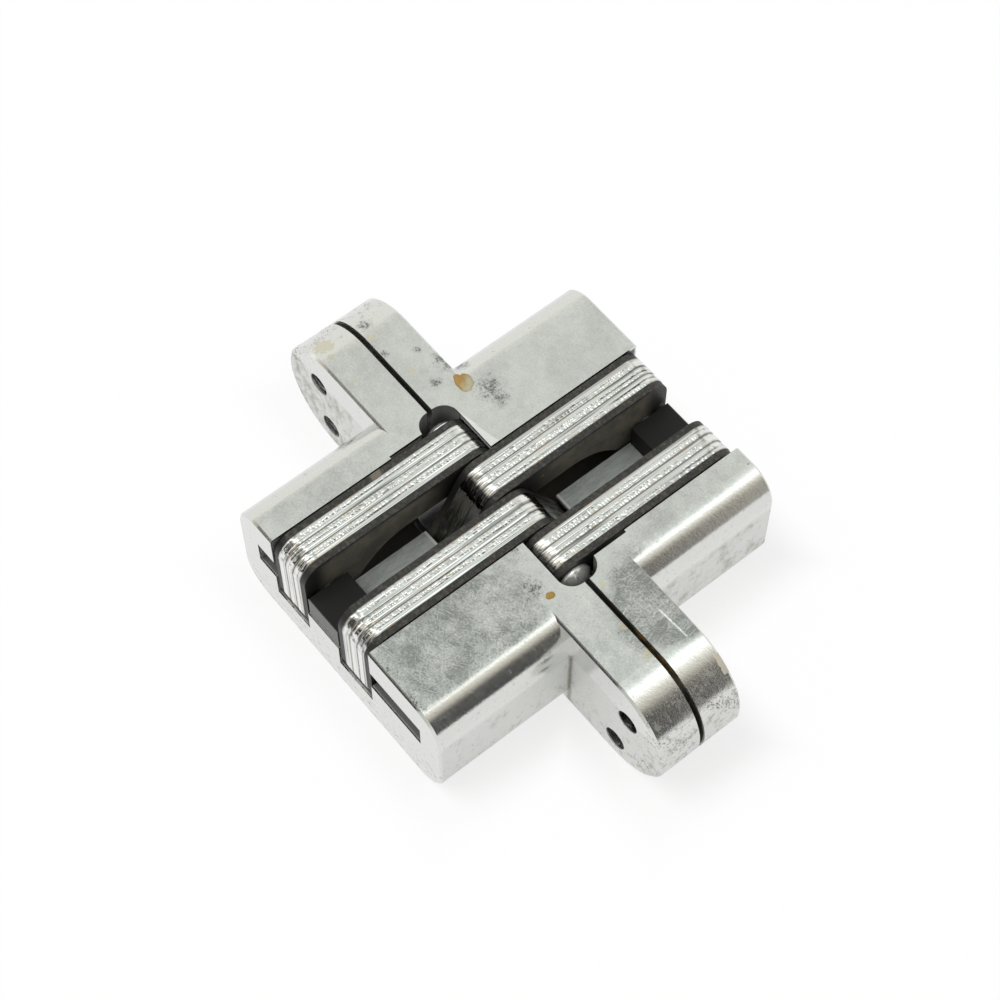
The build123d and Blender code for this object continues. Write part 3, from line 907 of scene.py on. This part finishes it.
class HINGE_OT_links(bpy.types.Operator):
    """Finish the laminations and side plates, and give every lamination its stamped edge"""

    bl_idname = "hinge.links"
    bl_label = "Laminated Links"

    def execute(self, context):
        look = context.scene.hinge_links
        plastic = side_plate_plastic(look)
        steels = [lamination_steel(look, 10.0 * number) for number in LAMINATIONS]
        edges = [stamped_edge_steel(look, 10.0 * number) for number in LAMINATIONS]
        for side in SIDES:
            for link in LINKS:
                for plate in SIDE_PLATES:
                    clad(NODES[f"link{link}_side_plate_{plate}_{side}"], plastic)
                for number, steel, edge in zip(LAMINATIONS, steels, edges):
                    clad(NODES[f"link{link}_lamination_{number}_{side}"], steel)
                    stamped_edge(look, side, link, number, edge)
        return {"FINISHED"}


class HINGE_OT_pins(bpy.types.Operator):
    """Finish the pins and the slide blocks"""

    bl_idname = "hinge.pins"
    bl_label = "Pins and Slide Blocks"

    def execute(self, context):
        look = context.scene.hinge_links
        steel = pin_steel(look)
        plastic = block_plastic(look)
        clad(NODES["centre_pin"], steel)
        for side in SIDES:
            clad(NODES[f"fixed_pin_{side}"], steel)
            clad(NODES[f"slide_pin_{side}"], steel)
            clad(NODES[f"slide_block_{side}"], plastic)
        return {"FINISHED"}


class HINGE_OT_glue(bpy.types.Operator):
    """Add the drops of dried glue on the rear side"""

    bl_idname = "hinge.glue"
    bl_label = "Dried Glue"

    def execute(self, context):
        material = dried_glue(context.scene.hinge_links)
        for index, drop in enumerate(GLUE_DROPS, start=1):
            glue_drop(index, *drop, material)
        return {"FINISHED"}


def away_from(azimuth, elevation):
    """Unit direction from the hinge towards a place at an azimuth and elevation."""
    level = math.cos(elevation)
    return Vector((math.sin(azimuth) * level, -math.cos(azimuth) * level, math.sin(elevation)))


def add_camera(stage):
    """Camera at the stage's angle, looking at the middle of the hinge."""
    camera = bpy.data.objects.new("camera", bpy.data.cameras.new("camera"))
    bpy.context.scene.collection.objects.link(camera)
    back = away_from(stage.azimuth, stage.elevation)
    camera.location = Vector((0, 0, stage.target_height)) + stage.distance * back
    camera.rotation_euler = (-back).to_track_quat("-Z", "Y").to_euler()
    camera.data.lens = stage.lens
    camera.data.shift_x = stage.shift_x
    camera.data.shift_y = stage.shift_y
    camera.data.clip_start = 0.01
    bpy.context.scene.camera = camera


def add_soft_light(name, azimuth, elevation, distance, size, power):
    """Square soft light that faces the hinge. It lights matte surfaces and casts the shadow."""
    light = bpy.data.lights.new(name, "AREA")
    light.size = size
    light.energy = power
    lamp = bpy.data.objects.new(name, light)
    bpy.context.scene.collection.objects.link(lamp)
    towards = away_from(math.radians(azimuth), math.radians(elevation))
    lamp.location = distance * towards
    lamp.rotation_euler = (-towards).to_track_quat("-Z", "Y").to_euler()
    lamp.visible_glossy = False


def seen_directly(paint):
    """1 for rays from the camera, from metal and through glass, 0 for the rest."""
    kinds = ("Camera", "Glossy", "Transmission")
    return paint.largest([paint.add("ShaderNodeLightPath", output=f"Is {kind} Ray") for kind in kinds])


def add_floor(stage):
    """White floor: seen as white except for a soft part of the hinge's shadow."""
    half = stage.floor_size / 2
    corners = [(-half, -half, 0), (half, -half, 0), (half, half, 0), (-half, half, 0)]
    mesh = bpy.data.meshes.new("floor")
    mesh.from_pydata(corners, [], [(0, 1, 2, 3)])
    floor = bpy.data.objects.new("floor", mesh)
    bpy.context.scene.collection.objects.link(floor)
    material, paint = new_material("floor")
    paper = paint.add("ShaderNodeBsdfDiffuse", None, {"Color": (0.98, 0.98, 0.98, 1.0)})
    glow = paint.add("ShaderNodeEmission", None, {"Color": (1.0, 1.0, 1.0, 1.0), "Strength": 1.0})
    place = paint.millimetres()
    far_x, far_y = (abs(paint.axis(place, name)) for name in "XY")

    # Under the links the floor is plain paper, so that it doesn't glow up through the pocket
    link_end = -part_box("link1_lamination_1_a")[0].x * PER_METRE
    covered = 1 - paint.fade(far_x, link_end - 12.0, link_end - 2.0)
    covered = covered * (1 - paint.fade(far_y, 18.0, 28.0))

    # Close to the hinge more of the shadow is kept than further away
    body = paint.math("MAXIMUM", far_x - LEAF_END, far_y - BODY_SIDE)
    ears = paint.math("MAXIMUM", far_x - EAR_BACK, far_y - EAR_END)
    away = paint.fade(paint.math("MINIMUM", body, ears), 1.0, 13.0)
    lit = (0.70 + 0.28 * away) * seen_directly(paint) * (1 - covered)
    shown = paint.add("ShaderNodeMixShader", None, {0: lit, 1: paper, 2: glow})
    paint.add("ShaderNodeOutputMaterial", None, {"Surface": shown})
    mesh.materials.append(material)


def dimmed(color):
    """Colour of the room as a share of its peak."""
    return rgba([channel / ROOM_PEAK for channel in color])


def screen(paint, direction, azimuth, middle, half_width):
    """1 towards a screen at an azimuth, up to about 50 degrees above the floor, 0 past its soft sides."""
    ahead = away_from(math.radians(azimuth), 0.0)
    aside = (-ahead.y, ahead.x, 0.0)
    off = abs(paint.dot(direction, aside) - middle)
    sides = 1 - paint.fade(off, half_width, half_width + SCREEN_SOFTNESS)
    return paint.fade(paint.dot(direction, ahead), *SCREEN_TOP) * sides


def light_room(stage):
    """Studio that metal reflects, plain white to the camera, and an even soft light on matte surfaces."""
    world = bpy.data.worlds.new("room")
    world.use_nodes = True
    bpy.context.scene.world = world
    paint = Paint(world.node_tree)
    direction = paint.add("ShaderNodeTexCoord", output="Generated")
    stops = [((share + 1) / 2, dimmed(color)) for share, color in ROOM]
    nearness = 0.5 * paint.dot(direction, NEAR_SIDE) + 0.5
    room = paint.add("ShaderNodeValToRGB", {"stops": stops}, {"Fac": nearness})
    screens = paint.largest([screen(paint, direction, *place) for place in SCREENS])
    room = paint.mix(screens, room, dimmed(SCREEN_SHADE))
    glossy = paint.add("ShaderNodeLightPath", output="Is Glossy Ray")
    seen = seen_directly(paint)
    plain = (1 - seen) * stage.ambient + seen
    color = paint.mix(glossy, (1.0, 1.0, 1.0, 1.0), room)
    strength = plain + (ROOM_PEAK - 1) * glossy
    light = paint.add("ShaderNodeBackground", None, {"Color": color, "Strength": strength})
    paint.add("ShaderNodeOutputWorld", None, {"Surface": light})


class HINGE_OT_stage(bpy.types.Operator):
    """Set up the floor, the lights and the camera"""

    bl_idname = "hinge.stage"
    bl_label = "Stage"

    def execute(self, context):
        stage = context.scene.hinge_stage
        add_floor(stage)
        light_room(stage)
        add_soft_light("key_light", *KEY_LIGHT, stage.key_power)
        add_soft_light("fill_light", *FILL_LIGHT, stage.fill_power)
        add_camera(stage)
        context.scene.view_settings.view_transform = "Standard"
        return {"FINISHED"}


class HINGE_PT_panel(bpy.types.Panel):
    """Lists the hinge's pieces and their looks"""

    bl_idname = "HINGE_PT_panel"
    bl_label = "Concealed Hinge"
    bl_space_type = "VIEW_3D"
    bl_region_type = "UI"
    bl_category = "Hinge"

    def draw(self, context):
        for operator in OPERATORS:
            self.layout.operator(operator.bl_idname)
        for name, group in LOOKS.items():
            look = getattr(context.scene, name)
            box = self.layout.box()
            for setting in group.__annotations__:
                box.prop(look, setting)


LOOKS = {"hinge_casting": CastingLook, "hinge_links": LinkLook, "hinge_stage": StageLook}
OPERATORS = (HINGE_OT_cast_leaves, HINGE_OT_links, HINGE_OT_pins, HINGE_OT_glue, HINGE_OT_stage)
CLASSES = (*LOOKS.values(), *OPERATORS, HINGE_PT_panel)


def register():
    for cls in CLASSES:
        bpy.utils.register_class(cls)
    for name, group in LOOKS.items():
        setattr(bpy.types.Scene, name, PointerProperty(type=group))


def unregister():
    for name in LOOKS:
        delattr(bpy.types.Scene, name)
    for cls in reversed(CLASSES):
        bpy.utils.unregister_class(cls)


def main():
    register()
    bpy.ops.hinge.cast_leaves()
    bpy.ops.hinge.links()
    bpy.ops.hinge.pins()
    bpy.ops.hinge.glue()
    bpy.ops.hinge.stage()


if __name__ == "__main__":
    main()
